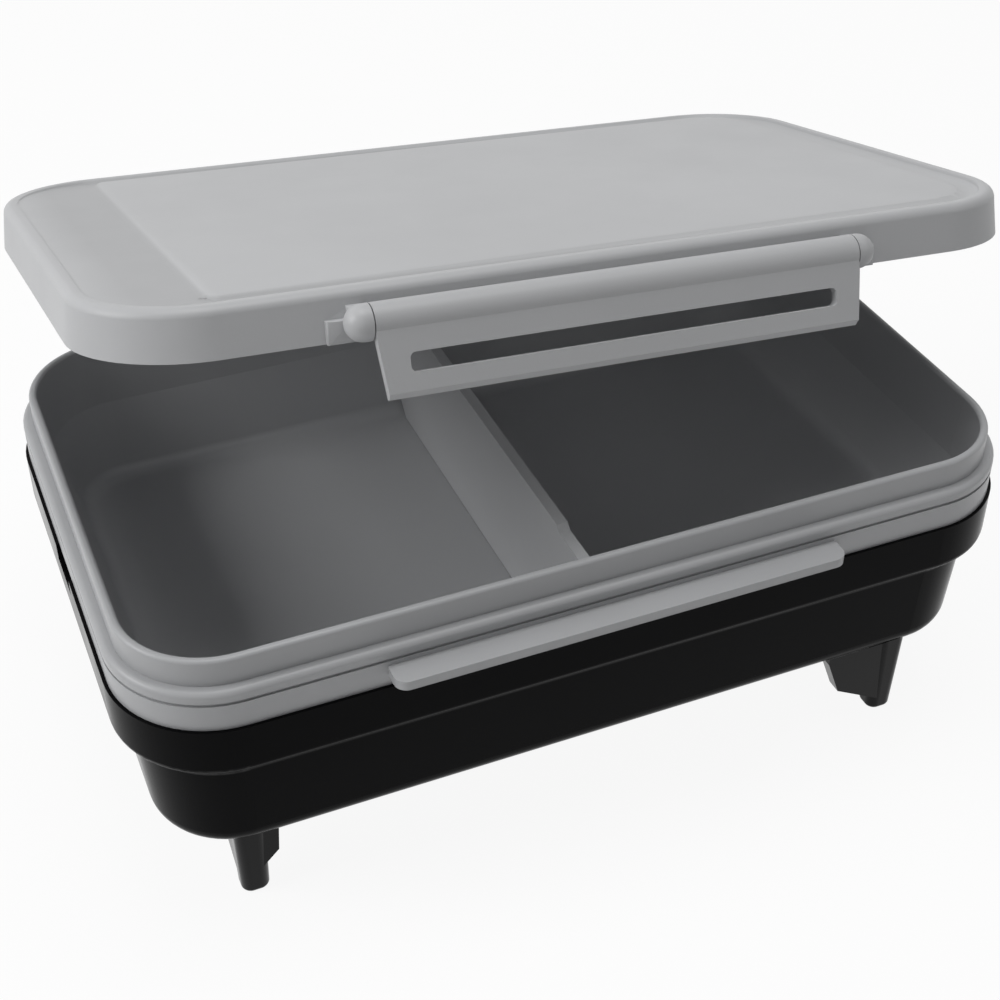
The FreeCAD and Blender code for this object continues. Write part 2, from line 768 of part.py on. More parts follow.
def make_inlet():
    """Two-pin inlet that snaps into the rear wall, and the indicator beside it."""
    body = new_body("power_inlet")
    mouth = rear_face + S.inlet_proud
    back = mouth - S.inlet_depth
    ear_face = rear_face - S.shell_wall - S.part_gap
    block = (S.inlet_length, S.inlet_height, S.inlet_corner)
    place = (S.inlet_x, z_inlet)
    stack(body, "inlet_block", [(*block, -back, *place), (*block, -mouth, *place)], plane="XZ_Plane")
    ears = (S.inlet_length + 2 * S.inlet_ear, S.inlet_ear_height, S.inlet_ear / 2)
    stack(body, "inlet_ears", [
        (*ears, -(ear_face - S.inlet_ear_thickness), *place),
        (*ears, -ear_face, *place),
    ], plane="XZ_Plane")
    socket = (S.socket_length, S.socket_height, S.socket_corner)
    stack(body, "inlet_socket", [
        (*socket, -(mouth - S.socket_depth), *place),
        (*socket, -(mouth + S.cut_margin), *place),
    ], cut=True, plane="XZ_Plane")
    pins = []
    for number, side in enumerate((-1, 1)):
        x = S.inlet_x + side * S.pin_spacing / 2
        cylinder(body, f"inlet_pin_hole_{number}", "XZ_Plane", S.pin_radius + S.bore_gap,
                 -mouth, -(back - S.cut_margin), x, z_inlet, cut=True)
        pin = doc.addObject("Part::Cylinder", f"inlet_pin_{number}")
        bind(pin, "Radius", S.pin_radius)
        bind(pin, "Height", S.pin_length)
        pin.Placement.Rotation = FreeCAD.Rotation(FreeCAD.Vector(1, 0, 0), -90)
        for axis, size in zip("xyz", (x, back - S.pin_tail, z_inlet)):
            bind(pin, f"Placement.Base.{axis}", size)
        pins.append(pin)
    group = doc.addObject("Part::Compound", "inlet_pins")
    group.Links = pins
    keep(group, "inlet_pins")

    lens = new_body("indicator_lens")
    spot = (S.lens_x, z_inlet)
    flange_back = ear_face - S.lens_flange_thickness
    cylinder(lens, "lens_stem", "XZ_Plane", S.lens_radius, -(flange_back + S.lens_length), -flange_back, *spot)
    cylinder(lens, "lens_flange", "XZ_Plane", S.lens_flange, -ear_face, -flange_back, *spot)
    bore = S.lens_radius - S.lens_wall
    bore_end = flange_back + S.lens_length - S.lens_wall
    cylinder(lens, "lens_bore", "XZ_Plane", bore, -bore_end, -(flange_back - S.cut_margin), *spot, cut=True)
    lamp = new_body("indicator_lamp")
    tip = bore_end - S.part_gap
    cylinder(lamp, "lamp_stem", "XZ_Plane", bore - S.hole_gap, -tip, -(tip - S.lamp_length), *spot)


def bent_path(points):
    """Join points with straight runs and tangent arcs as large as the runs allow."""
    edges = []
    start = points[0]
    for before, corner, after in zip(points, points[1:], points[2:]):
        back = (before - corner).normalize()
        on = (after - corner).normalize()
        turn = math.pi - back.getAngle(on)
        cut = 0.45 * min((before - corner).Length, (after - corner).Length)
        radius = cut / math.tan(turn / 2)
        middle = corner + (back + on).normalize() * (radius / math.cos(turn / 2) - radius)
        enter = corner + back * cut
        leave = corner + on * cut
        edges.append(Part.LineSegment(start, enter).toShape())
        edges.append(Part.Arc(enter, middle, leave).toShape())
        start = leave
    edges.append(Part.LineSegment(start, points[-1]).toShape())
    return Part.Wire(edges)


def make_wire(label, points):
    """A lead of round wire along a bent path."""
    path = bent_path([FreeCAD.Vector(*(as_size(size).value for size in point)) for point in points])
    first = path.Edges[0]
    ring = Part.Circle(first.firstVertex().Point, first.tangentAt(first.FirstParameter), S.wire_radius.value)
    piece = doc.addObject("Part::Feature", label)
    piece.Shape = path.makePipeShell([Part.Wire(ring.toShape())], True, True)
    keep(piece, label)


def make_wires():
    """Leads from the inlet through the fuse and the thermostat to the heaters."""
    pin_back = rear_face + S.inlet_proud - S.inlet_depth - S.pin_tail
    fuse_end = S.fuse_length / 2 + S.fuse_lead
    heater_end = heater_offset + heater_length / 2 + S.part_gap
    aisle = clamp_far + S.part_gap
    heater_side = S.clamp_width / 2 + 2 * S.wire_radius
    heater_mid = z_plate - S.heater_height / 2
    live_x = S.inlet_x + S.pin_spacing / 2
    neutral_x = S.inlet_x - S.pin_spacing / 2
    make_wire("live_wire", [
        (live_x, pin_back, z_inlet),
        (live_x, -fuse_y, z_wire),
        (fuse_end + 3 * S.wire_aisle, -fuse_y, z_wire),
        (fuse_end + S.wire_aisle, -fuse_y, z_fuse),
        (fuse_end, -fuse_y, z_fuse),
    ])
    make_wire("neutral_wire", [
        (neutral_x, pin_back, z_inlet),
        (neutral_x, heater_side + 2 * S.wire_aisle, z_wire),
        (heater_end + S.wire_aisle, heater_side, heater_mid),
        (heater_end, heater_side, heater_mid),
    ])
    tab_end = thermostat_y + S.thermostat_tab_reach + S.part_gap
    tab_mid = z_plate - S.thermostat_height + S.clamp_sheet * 1.5
    make_wire("bridge_wire", [
        (-fuse_end, -fuse_y, z_fuse),
        (-fuse_end - S.wire_aisle, -fuse_y, z_fuse),
        (-fuse_end - 3 * S.wire_aisle, -fuse_y, z_wire),
        (-aisle, -fuse_y, z_wire),
        (-aisle, tab_end + S.wire_aisle, z_wire),
        (-S.thermostat_tab_x, tab_end + S.wire_aisle, tab_mid),
        (-S.thermostat_tab_x, tab_end, tab_mid),
    ])
    lead_x = S.thermostat_ear / 2 + 2 * S.wire_aisle
    lead_y = S.heater_width / 2 + S.part_gap
    make_wire("heater_wire", [
        (S.thermostat_tab_x, tab_end, tab_mid),
        (S.thermostat_tab_x, tab_end + S.wire_aisle, tab_mid),
        (lead_x, tab_end + S.wire_aisle, z_wire),
        (lead_x, lead_y + 2 * S.wire_aisle, z_wire),
        (lead_x, lead_y + S.wire_aisle, heater_mid),
        (lead_x, lead_y, heater_mid),
    ])


def make_tub():
    """Food tub: drafted body, flange band with a groove line, stepped rim and keeper ledges."""
    body = new_body("tub")
    groove_top = z_flange - S.flange_groove_drop
    groove_low = groove_top - S.flange_groove_high
    stack(body, "tub_body", [(*rim(-S.tub_foot_in), z_tub), (*rim(-S.tub_neck_in), z_edge)])
    round_edges(body, "tub_foot_round", z_tub, S.tub_floor_round)
    stack(body, "tub_flange_low", [(*rim(S.flange_out), z_edge), (*rim(S.flange_out), groove_low)])
    groove = rim(S.flange_out - S.flange_groove_deep)
    stack(body, "tub_groove", [(*groove, groove_low), (*groove, groove_top)])
    stack(body, "tub_flange", [(*rim(S.flange_out), groove_top), (*rim(S.flange_out), z_flange)])
    round_edges(body, "tub_flange_round", z_flange, S.flange_edge_round)
    stack(body, "tub_rim", [(*rim(as_size(0)), z_flange), (*rim(as_size(0)), z_rim)])
    for side in (-1, 1):
        name = "front" if side < 0 else "rear"
        depth = S.ledge_out + S.ledge_corner
        ledge = (S.ledge_length, depth, S.ledge_corner)
        middle = side * (S.rim_width / 2 + S.ledge_out - depth / 2)
        stack(body, f"tub_ledge_{name}", [
            (*ledge, z_ledge - S.ledge_thickness, 0, middle),
            (*ledge, z_ledge, 0, middle),
        ])
    stack(body, "tub_inside", [
        (*rim(-S.tub_foot_in - S.tub_wall), z_tub_floor),
        (*rim(-S.tub_neck_in - S.tub_wall), z_edge),
        (*rim(-S.tub_wall), z_rim + S.cut_margin),
    ], cut=True)
    round_edges(body, "tub_floor_round", z_tub_floor, S.tub_floor_round)
    round_edges(body, "tub_rim_round", z_rim, S.rim_edge_round)


def make_divider():
    """Wall across the tub, drafted like its sides, with a lower shoulder at each end."""
    body = new_body("divider")
    top = z_rim - S.divider_drop
    shoulder = top - S.divider_step
    low = z_tub_floor + S.divider_gap
    foot = S.rim_width / 2 - S.tub_foot_in - S.tub_wall - S.tub_floor_round
    toe = S.rim_width / 2 - S.tub_foot_in - S.tub_wall - S.divider_gap
    neck = S.rim_width / 2 - S.tub_neck_in - S.tub_wall - S.divider_gap
    step = neck - S.divider_step_run
    half = [(foot, low), (toe, low + S.tub_floor_round), (neck, z_edge), (neck, shoulder),
            (step + S.divider_step, shoulder), (step, top)]
    wall = half + [(-y, z) for y, z in reversed(half)]
    prism(body, "divider_wall", "YZ_Plane", wall, S.divider_offset - S.divider_thickness / 2,
          S.divider_offset + S.divider_thickness / 2)


def lift_placement():
    """The turn that carries the closed lid to where it is held up."""
    turn = math.radians(S.lift_turn.value)
    tilt = math.radians(S.lift_tilt.value)
    back = S.lift_back.value
    centre = FreeCAD.Vector(math.sin(turn) * back, math.cos(turn) * back, z_lid.value - S.lift_drop.value)
    axis = FreeCAD.Vector(-math.cos(turn) * math.cos(tilt), math.sin(turn) * math.cos(tilt), math.sin(tilt))
    return FreeCAD.Placement(FreeCAD.Vector(), FreeCAD.Rotation(axis, S.lift_angle.value), centre)


def make_lid():
    """Lid: drafted skirt, raised panel inside a recessed border, plug rib and latch ears."""
    body = new_body("lid")
    top_out = S.lid_top_out
    stack(body, "lid_form", [(*rim(S.lid_low_out), z_lid), (*rim(top_out), z_lid_top)])
    round_edges(body, "lid_top_round", z_lid_top, S.lid_round)
    recess = rim(top_out - S.lid_rim)
    recess_low = z_lid_top - S.lid_recess
    stack(body, "lid_recess", [(*recess, recess_low), (*recess, z_lid_top + S.cut_margin)], cut=True)
    panel_length = recess[0] - S.panel_left - S.panel_right
    panel_width = recess[1] - 2 * S.panel_side
    shift = (S.panel_left - S.panel_right) / 2
    panel = (panel_length, panel_width, S.panel_corner)
    stack(body, "lid_panel", [
        (*panel, recess_low, shift, 0),
        (*grown(*panel, -S.panel_slope), z_lid_top, shift, 0),
    ])
    left = (panel_length / 2, panel_width, S.panel_left_corner)
    left_shift = shift - panel_length / 4
    stack(body, "lid_panel_left", [
        (*left, recess_low, left_shift, 0),
        (*grown(*left, -S.panel_slope), z_lid_top, left_shift, 0),
    ])
    stack(body, "lid_inside", [
        (*rim(S.lid_mouth_gap), z_lid),
        (*rim(S.lid_gap), z_ceiling),
    ], cut=True)
    plug_out = -(S.tub_wall + S.plug_gap)
    plug_low = z_rim - S.plug_depth
    stack(body, "lid_plug", [(*rim(plug_out), plug_low), (*rim(plug_out), z_ceiling)])
    plug_in = plug_out - S.plug_wall
    stack(body, "lid_plug_inside", [
        (*rim(plug_in), plug_low - S.cut_margin),
        (*rim(plug_in), z_ceiling),
    ], cut=True)
    for side in (-1, 1):
        for end in (-1, 1):
            add_ear(body, side, end)
    body.Placement = lift_placement()


def add_ear(body, side, end):
    """Ball-ended ear of the lid, with its web, bracket and pin seat."""
    name = ("front" if side < 0 else "rear") + ("_left" if end < 0 else "_right")
    axis_y = side * (S.rim_width / 2 + S.latch_axis_out)
    wall_y = side * (S.rim_width / 2 + S.lid_mouth_gap + S.plug_wall / 2)
    near = S.latch_length / 2 + S.part_gap
    ball = near + S.ear_length
    low, high = sorted((end * near, end * ball), key=lambda size: size.value)
    cylinder(body, f"ear_{name}", "YZ_Plane", S.barrel_radius, low, high, axis_y, z_latch)
    sphere = body.newObject("PartDesign::AdditiveSphere", f"ball_{name}")
    attach(sphere, body, "YZ_Plane", axis_y, z_latch, end * ball)
    bind(sphere, "Radius", S.barrel_radius)
    sphere.Angle1 = 0 if end > 0 else -90
    sphere.Angle2 = 90 if end > 0 else 0
    root = ball + S.barrel_radius / 2
    web = (root - near, S.latch_axis_out - S.lid_mouth_gap, S.ear_length / 4)
    middle = (end * (near + root) / 2, (axis_y + wall_y) / 2)
    stack(body, f"ear_web_{name}", [
        (*web, z_latch - S.ear_web, *middle),
        (*web, z_latch + S.ear_web, *middle),
    ])
    reach = S.lid_low_out - S.lid_mouth_gap + S.bracket_out
    bracket = (S.bracket_length, reach, S.ear_length / 4)
    place = (end * (ball + S.bracket_length / 2),
             side * (S.rim_width / 2 + S.lid_low_out + S.bracket_out - reach / 2))
    stack(body, f"ear_bracket_{name}", [
        (*bracket, z_lid, *place),
        (*bracket, z_lid + S.bracket_height, *place),
    ])
    seat_low, seat_high = sorted((end * (near - S.cut_margin), end * (near + S.pin_seat)),
                                 key=lambda size: size.value)
    cylinder(body, f"ear_seat_{name}", "YZ_Plane", S.latch_pin_radius + S.bore_gap / 2,
             seat_low, seat_high, axis_y, z_latch, cut=True)


def make_lid_gasket():
    """Sealing ring on the lid's ceiling, over the tub's rim."""
    body = new_body("lid_gasket")
    ring = rim(S.lid_gap - S.part_gap)
    hole = rim(S.lid_gap - S.part_gap - S.gasket_width)
    low = z_rim + S.gasket_gap
    stack(body, "gasket_form", [(*ring, low), (*ring, z_ceiling)])
    stack(body, "gasket_hole", [(*hole, low - S.cut_margin), (*hole, z_ceiling + S.cut_margin)], cut=True)
    body.Placement = lift_placement()


def make_latch(name, side):
    """Snap latch on its pin: a barrel, a slotted flap and the hook that grips the ledge."""
    body = new_body(f"{name}_latch")
    half = S.latch_length / 2
    inner = -S.flap_inset
    outer = inner - S.flap_thickness
    hook_top = -S.hook_drop
    end = -S.flap_length
    cylinder(body, "latch_barrel", "YZ_Plane", S.barrel_radius, -half, half)
    flap = ((inner, as_size(0)), (outer, as_size(0)), (outer, end + S.flap_corner),
            (outer + S.flap_corner, end), (inner, end))
    prism(body, "latch_flap", "YZ_Plane", flap, -half, half)
    hook = ((inner, hook_top), (inner + S.hook_reach, hook_top),
            (inner + S.hook_reach, hook_top - S.hook_flat),
            (inner, hook_top - S.hook_flat - S.hook_slope))
    prism(body, "latch_hook", "YZ_Plane", hook, -S.slot_length / 2, S.slot_length / 2)
    for side_x in (-1, 1):
        edge = "left" if side_x < 0 else "right"
        taper = ((side_x * half, -S.barrel_radius), (side_x * half, end - S.cut_margin),
                 (side_x * (half - S.flap_taper), end - S.cut_margin))
        prism(body, f"latch_taper_{edge}", "XZ_Plane", taper, -S.barrel_radius, S.barrel_radius, cut=True)
    slot = (S.slot_length, S.slot_height, S.flap_corner)
    slot_middle = -(S.slot_drop + S.slot_height / 2)
    stack(body, "latch_slot", [
        (*slot, -(outer - S.cut_margin), 0, slot_middle),
        (*slot, -inner, 0, slot_middle),
    ], cut=True, plane="XZ_Plane")
    cylinder(body, "latch_bore", "YZ_Plane", S.latch_pin_radius + S.bore_gap, -half - S.cut_margin,
             half + S.cut_margin, cut=True)
    axis_point = FreeCAD.Vector(0, side * (S.rim_width / 2 + S.latch_axis_out).value, z_latch.value)
    facing = FreeCAD.Rotation(FreeCAD.Vector(0, 0, 1), 0 if side < 0 else 180)
    swing = FreeCAD.Rotation(FreeCAD.Vector(-1, 0, 0), S.latch_open.value)
    closed = FreeCAD.Placement(axis_point, facing.multiply(swing))
    body.Placement = lift_placement().multiply(closed)

    pin = new_body(f"{name}_latch_pin")
    reach = half + S.part_gap + S.pin_seat - S.part_gap
    cylinder(pin, "pin_rod", "YZ_Plane", S.latch_pin_radius, -reach, reach)
    pin.Placement = lift_placement().multiply(FreeCAD.Placement(axis_point, FreeCAD.Rotation()))


def check_and_write():
    """Stop at any failed object, then write each piece to its own file."""
    doc.recompute()
    for item in doc.Objects:
        if "Invalid" in item.State or "Error" in item.State:
            raise RuntimeError(f"{item.Name} failed: {item.getStatusString()}")
    os.makedirs("parts", exist_ok=True)
    for piece in nodes:
        shape = piece.Shape
        if shape.isNull() or not shape.isValid():
            raise RuntimeError(f"{piece.Label} has no valid shape")
        shape.exportStep(f"parts/{piece.Label}.step")
        print(f"{piece.Label}: {len(shape.Solids)} solid, {shape.Volume / 1000:.2f} cm3")


make_base_shell()
make_legs()
make_bottom_cover()
make_screws("bottom_cover_screws", z_cover, z_shell + S.cover_screw_depth,
            [(x * cover_screw_x, y * S.cover_screw_y) for x, y in CORNERS])
make_inner_well()
make_heating_plate()
make_heaters()
make_thermostat()
make_thermal_fuse()
make_heat_shield()
make_inlet()
make_wires()
make_tub()
make_divider()
make_lid()
make_lid_gasket()
make_latch("front", -1)
make_latch("rear", 1)
check_and_write()
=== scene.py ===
"""Electric food warmer: finishes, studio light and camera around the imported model.

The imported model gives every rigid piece. This file dresses each of them in a moulded, metal or
silicone finish, gives the lid's top its softer lines, adds the studio, and points the camera along
the photograph's line of sight. Metres, +X right, -Y front, +Z up.
"""

from __future__ import annotations

import json
import logging
import math
from dataclasses import dataclass, field, replace
from enum import Enum

import bmesh
import bpy
from mathutils import Matrix, Vector


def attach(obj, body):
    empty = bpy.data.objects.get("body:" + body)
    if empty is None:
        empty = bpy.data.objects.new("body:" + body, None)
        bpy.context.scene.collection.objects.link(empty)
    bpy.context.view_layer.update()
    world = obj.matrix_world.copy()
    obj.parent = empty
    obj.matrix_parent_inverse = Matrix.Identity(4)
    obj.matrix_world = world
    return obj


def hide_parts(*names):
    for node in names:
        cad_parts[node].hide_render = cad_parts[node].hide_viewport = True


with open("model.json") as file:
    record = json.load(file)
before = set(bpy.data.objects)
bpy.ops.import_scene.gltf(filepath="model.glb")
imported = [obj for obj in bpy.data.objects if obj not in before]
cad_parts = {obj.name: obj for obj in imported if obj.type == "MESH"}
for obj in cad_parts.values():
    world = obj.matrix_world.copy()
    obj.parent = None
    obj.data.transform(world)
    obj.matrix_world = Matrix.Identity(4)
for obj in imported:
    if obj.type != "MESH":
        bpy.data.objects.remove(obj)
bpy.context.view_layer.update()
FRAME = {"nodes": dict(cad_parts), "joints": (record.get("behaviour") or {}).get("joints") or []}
# Mesh attribute that carries the lid pocket's painted shade.
POCKET_SHADE_MARK = "pocket"
WHITE = (1.0, 1.0, 1.0, 1.0)

Colour = tuple[float, float, float]
Triple = tuple[float, float, float]

log = logging.getLogger("food_warmer")


class Grain(Enum):
    """How coarse the mould's texture is, as noise cells per metre."""

    POLISHED = 260.0
    SATIN = 1500.0
    SPARKED = 2600.0


class Brush(Enum):
    """Direction of the fine scratches on a metal, as noise cells per metre along X, Y and Z."""

    ALONG_X = (60.0, 2600.0, 2600.0)
    ALONG_Y = (2600.0, 60.0, 2600.0)
    TURNED = (900.0, 900.0, 900.0)


class NodeSheet:
    """A material's node tree, with short ways to add and join nodes."""

    NOISE_ROUGHNESS = 0.55
    NOISE_MIDDLE = (0.3, 0.7)
    TINT_STOPS = (0.32, 0.68)

    def __init__(self, name: str) -> None:
        """Start a material that has only its shader and its output.

        Args:
            name: the material's name.
        """
        self.material = bpy.data.materials.new(name)
        self.material.use_nodes = True
        self.tree = self.material.node_tree
        self.tree.nodes.clear()
        self.shader = self.add("ShaderNodeBsdfPrincipled")
        self.output = self.add("ShaderNodeOutputMaterial")
        self.join(self.shader, "BSDF", self.output, "Surface")
        self.place = self.add("ShaderNodeTexCoord")

    def add(self, kind: str, **sockets: object) -> bpy.types.Node:
        """Add a node and set its unlinked sockets.

        Args:
            kind: the node's type.
            sockets: socket values by name, with an underscore for a space.

        Returns:
            The new node.
        """
        node = self.tree.nodes.new(kind)
        for name, value in sockets.items():
            node.inputs[name.replace("_", " ")].default_value = value
        return node

    def join(self, start: bpy.types.Node, out: str, end: bpy.types.Node, into: str) -> None:
        """Link one node's output to another's input.

        Args:
            start: the node that gives the value.
            out: its output's name.
            end: the node that takes the value.
            into: its input's name.
        """
        self.tree.links.new(start.outputs[out], end.inputs[into])

    def noise(self, scale: float, detail: float = 2.0, stretch: Triple | None = None) -> bpy.types.Node:
        """Add a noise pattern that sits on the piece.

        Args:
            scale: cells per metre, or 1 where stretch gives them.
            detail: how many finer layers the noise has.
            stretch: cells per metre along X, Y and Z.

        Returns:
            The noise node.
        """
        node = self.add("ShaderNodeTexNoise", Scale=scale, Detail=detail, Roughness=self.NOISE_ROUGHNESS)
        if stretch is None:
            self.join(self.place, "Object", node, "Vector")
        else:
            mapping = self.add("ShaderNodeMapping", Scale=stretch)
            self.join(self.place, "Object", mapping, "Vector")
            self.join(mapping, "Vector", node, "Vector")
        return node

    def spread(self, source: bpy.types.Node, low: float, high: float) -> bpy.types.Node:
        """Map a noise's middle range to a range of values.

        Args:
            source: the noise node.
            low: the value at the noise's low end.
            high: the value at its high end.

        Returns:
            The range node.
        """
        bottom, top = self.NOISE_MIDDLE
        node = self.add("ShaderNodeMapRange", From_Min=bottom, From_Max=top, To_Min=low, To_Max=high)
        self.join(source, "Fac", node, "Value")
        return node

    def tint(self, source: bpy.types.Node, dark: Colour, light: Colour) -> bpy.types.Node:
        """Map a noise's middle range to a range of colours.

        Args:
            source: the noise node.
            dark: the colour at the noise's low end.
            light: the colour at its high end.

        Returns:
            The colour ramp.
        """
        ramp = self.add("ShaderNodeValToRGB")
        for stop, position, colour in zip(ramp.color_ramp.elements, self.TINT_STOPS, (dark, light)):
            stop.position = position
            stop.color = (*colour, 1.0)
        self.join(source, "Fac", ramp, "Fac")
        return ramp

    def relief(self, source: bpy.types.Node, height: float, strength: float,
               under: bpy.types.Node | None = None) -> bpy.types.Node:
        """Turn a noise into surface relief.

        Args:
            source: the noise node.
            height: the relief's height in metres.
            strength: how strongly it shows.
            under: a coarser relief that this one lies on.

        Returns:
            The bump node.
        """
        node = self.add("ShaderNodeBump", Strength=strength, Distance=height)
        self.join(source, "Fac", node, "Height")
        if under is not None:
            self.join(under, "Normal", node, "Normal")
        return node


def scaled(colour: Colour, factor: float) -> Colour:
    """Give a colour made lighter or darker by a factor."""
    return tuple(min(1.0, channel * factor) for channel in colour)


@dataclass(frozen=True)
class MouldedPlastic:
    """Injection-moulded plastic with mould grain, slight flow marks and handling smudges.

    A marked stretch of the piece carries painted shade, darkest in a recess. The mesh attribute named by
    the mark field gives its strength, and the full field is the strength at which the whole shade factor
    shows.
    """

    name: str
    colour: Colour
    roughness: float
    grain: Grain
    grain_height: float
    mottle: float = 0.03
    smudge: float = 0.05
    gloss: float = 0.5
    refraction: float = 1.5
    flow_scale: float = 9.0
    flow_detail: float = 3.0
    smear_scale: float = 38.0
    smear_detail: float = 4.0
    sink_scale: float = 22.0
    sink_detail: float = 1.0
    sink_height: float = 0.00002
    sink_strength: float = 0.6
    grain_strength: float = 0.5
    painted_shade_mark: str | None = None
    painted_shade: float = 0.84
    painted_shade_full: float = 0.45

    def material(self) -> bpy.types.Material:
        """Make the plastic's material.

        Returns:
            The material.
        """
        sheet = NodeSheet(self.name)
        flow = sheet.noise(self.flow_scale, self.flow_detail)
        dark, light = scaled(self.colour, 1 - self.mottle), scaled(self.colour, 1 + self.mottle)
        colour = sheet.tint(flow, dark, light)
        if self.painted_shade_mark is not None:
            colour = self.add_painted_shade(sheet, colour)
        sheet.join(colour, "Color", sheet.shader, "Base Color")
        smears = sheet.noise(self.smear_scale, self.smear_detail)
        haze = sheet.spread(smears, self.roughness - self.smudge / 2, self.roughness + self.smudge)
        sheet.join(haze, "Result", sheet.shader, "Roughness")
        sinks = sheet.noise(self.sink_scale, self.sink_detail)
        sink = sheet.relief(sinks, self.sink_height, self.sink_strength)
        grain = sheet.relief(sheet.noise(self.grain.value), self.grain_height, self.grain_strength, sink)
        sheet.join(grain, "Normal", sheet.shader, "Normal")
        sheet.shader.inputs["IOR"].default_value = self.refraction
        sheet.shader.inputs["Specular IOR Level"].default_value = self.gloss
        return sheet.material

    def add_painted_shade(self, sheet: NodeSheet, colour: bpy.types.Node) -> bpy.types.Node:
        """Darken the marked stretch with painted shade.

        Args:
            sheet: the material's nodes.
            colour: the node that gives the plastic's colour.

        Returns:
            The node that gives the darkened colour.
        """
        shade_mark = sheet.add("ShaderNodeAttribute")
        shade_mark.attribute_name = self.painted_shade_mark
        level = sheet.add("ShaderNodeMapRange", From_Max=self.painted_shade_full)
        sheet.join(shade_mark, "Fac", level, "Value")
        grey = (self.painted_shade, self.painted_shade, self.painted_shade, 1.0)
        shade = sheet.add("ShaderNodeMixRGB", Color2=grey)
        shade.blend_type = "MULTIPLY"
        sheet.join(level, "Result", shade, "Fac")
        sheet.join(colour, "Color", shade, "Color1")
        return shade


@dataclass(frozen=True)
class WorkedMetal:
    """Bare metal with the scratches of its rolling, drawing or turning."""

    name: str
    colour: Colour
    roughness: float
    brush: Brush
    dark: float = 0.9
    light: float = 1.08
    smoother: float = 0.06
    rougher: float = 0.1
    scratch_height: float = 0.000012
    scratch_strength: float = 0.5

    def material(self) -> bpy.types.Material:
        """Make the metal's material.

        Returns:
            The material.
        """
        sheet = NodeSheet(self.name)
        lines = sheet.noise(1.0, stretch=self.brush.value)
        colour = sheet.tint(lines, scaled(self.colour, self.dark), scaled(self.colour, self.light))
        sheet.join(colour, "Color", sheet.shader, "Base Color")
        haze = sheet.spread(lines, self.roughness - self.smoother, self.roughness + self.rougher)
        sheet.join(haze, "Result", sheet.shader, "Roughness")
        scratches = sheet.relief(lines, self.scratch_height, self.scratch_strength)
        sheet.join(scratches, "Normal", sheet.shader, "Normal")
        sheet.shader.inputs["Metallic"].default_value = 1.0
        return sheet.material


@dataclass(frozen=True)
class SoftSilicone:
    """Silicone or sleeve rubber: soft, slightly hazy, with a dusty sheen."""

    name: str
    colour: Colour
    roughness: float = 0.55
    sheen: float = 0.15
    dark: float = 0.92
    light: float = 1.06
    smoother: float = 0.05
    rougher: float = 0.12
    haze_scale: float = 70.0
    haze_detail: float = 4.0
    skin_scale: float = 1100.0
    skin_height: float = 0.00002
    skin_strength: float = 0.4

    def material(self) -> bpy.types.Material:
        """Make the silicone's material.

        Returns:
            The material.
        """
        sheet = NodeSheet(self.name)
        dust = sheet.noise(self.haze_scale, self.haze_detail)
        colour = sheet.tint(dust, scaled(self.colour, self.dark), scaled(self.colour, self.light))
        sheet.join(colour, "Color", sheet.shader, "Base Color")
        haze = sheet.spread(dust, self.roughness - self.smoother, self.roughness + self.rougher)
        sheet.join(haze, "Result", sheet.shader, "Roughness")
        skin = sheet.relief(sheet.noise(self.skin_scale), self.skin_height, self.skin_strength)
        sheet.join(skin, "Normal", sheet.shader, "Normal")
        sheet.shader.inputs["Sheen Weight"].default_value = self.sheen
        return sheet.material


@dataclass(frozen=True)
class TintedLens:
    """Clear tinted plastic of the indicator, with a faint moulded ripple."""

    name: str
    colour: Colour
    roughness: float = 0.12
    clearness: float = 0.35
    dark: float = 0.85
    light: float = 1.1
    ripple_scale: float = 420.0
    ripple_detail: float = 1.0
    ripple_height: float = 0.00003
    ripple_strength: float = 0.4

    def material(self) -> bpy.types.Material:
        """Make the lens material.

        Returns:
            The material.
        """
        sheet = NodeSheet(self.name)
        ripple = sheet.noise(self.ripple_scale, self.ripple_detail)
        colour = sheet.tint(ripple, scaled(self.colour, self.dark), scaled(self.colour, self.light))
        sheet.join(colour, "Color", sheet.shader, "Base Color")
        waves = sheet.relief(ripple, self.ripple_height, self.ripple_strength)
        sheet.join(waves, "Normal", sheet.shader, "Normal")
        sheet.shader.inputs["Roughness"].default_value = self.roughness
        sheet.shader.inputs["Transmission Weight"].default_value = self.clearness
        return sheet.material


Finish = MouldedPlastic | WorkedMetal | SoftSilicone | TintedLens

LID_GREY = MouldedPlastic(
    "lid_grey_plastic", (0.46, 0.465, 0.475), 0.42, Grain.SATIN, 0.00003, gloss=0.35)
# The lid's top carries painted shade in its finger pocket, darkest at the deep end by the panel's step.
LID_TOP_GREY = replace(LID_GREY, name="lid_top_grey", painted_shade_mark=POCKET_SHADE_MARK)
TUB_GREY = MouldedPlastic(
    "tub_grey_plastic", (0.41, 0.415, 0.425), 0.36, Grain.SATIN, 0.00002, gloss=0.35)
BASE_BLACK = MouldedPlastic(
    "base_black_gloss", (0.004, 0.004, 0.0044), 0.16, Grain.POLISHED, 0.000006,
    mottle=0.08, smudge=0.06, gloss=0.03)
LEG_BLACK = replace(BASE_BLACK, name="leg_black_gloss", gloss=0.15)
INNER_BLACK = MouldedPlastic(
    "inner_black_matte", (0.014, 0.014, 0.015), 0.55, Grain.SPARKED, 0.00004)
STEEL = WorkedMetal("zinc_steel", (0.56, 0.56, 0.57), 0.34, Brush.TURNED)
PIN_STEEL = WorkedMetal("drawn_steel", (0.62, 0.62, 0.63), 0.26, Brush.ALONG_X)
SHEET_ALUMINIUM = WorkedMetal("rolled_aluminium", (0.75, 0.75, 0.76), 0.36, Brush.ALONG_X)
BRASS = WorkedMetal("inlet_brass", (0.66, 0.5, 0.24), 0.28, Brush.ALONG_Y)
SEAL_GREY = SoftSilicone("seal_grey_silicone", (0.5, 0.51, 0.52))
LIVE_SLEEVE = SoftSilicone("live_brown_sleeve", (0.22, 0.09, 0.035))
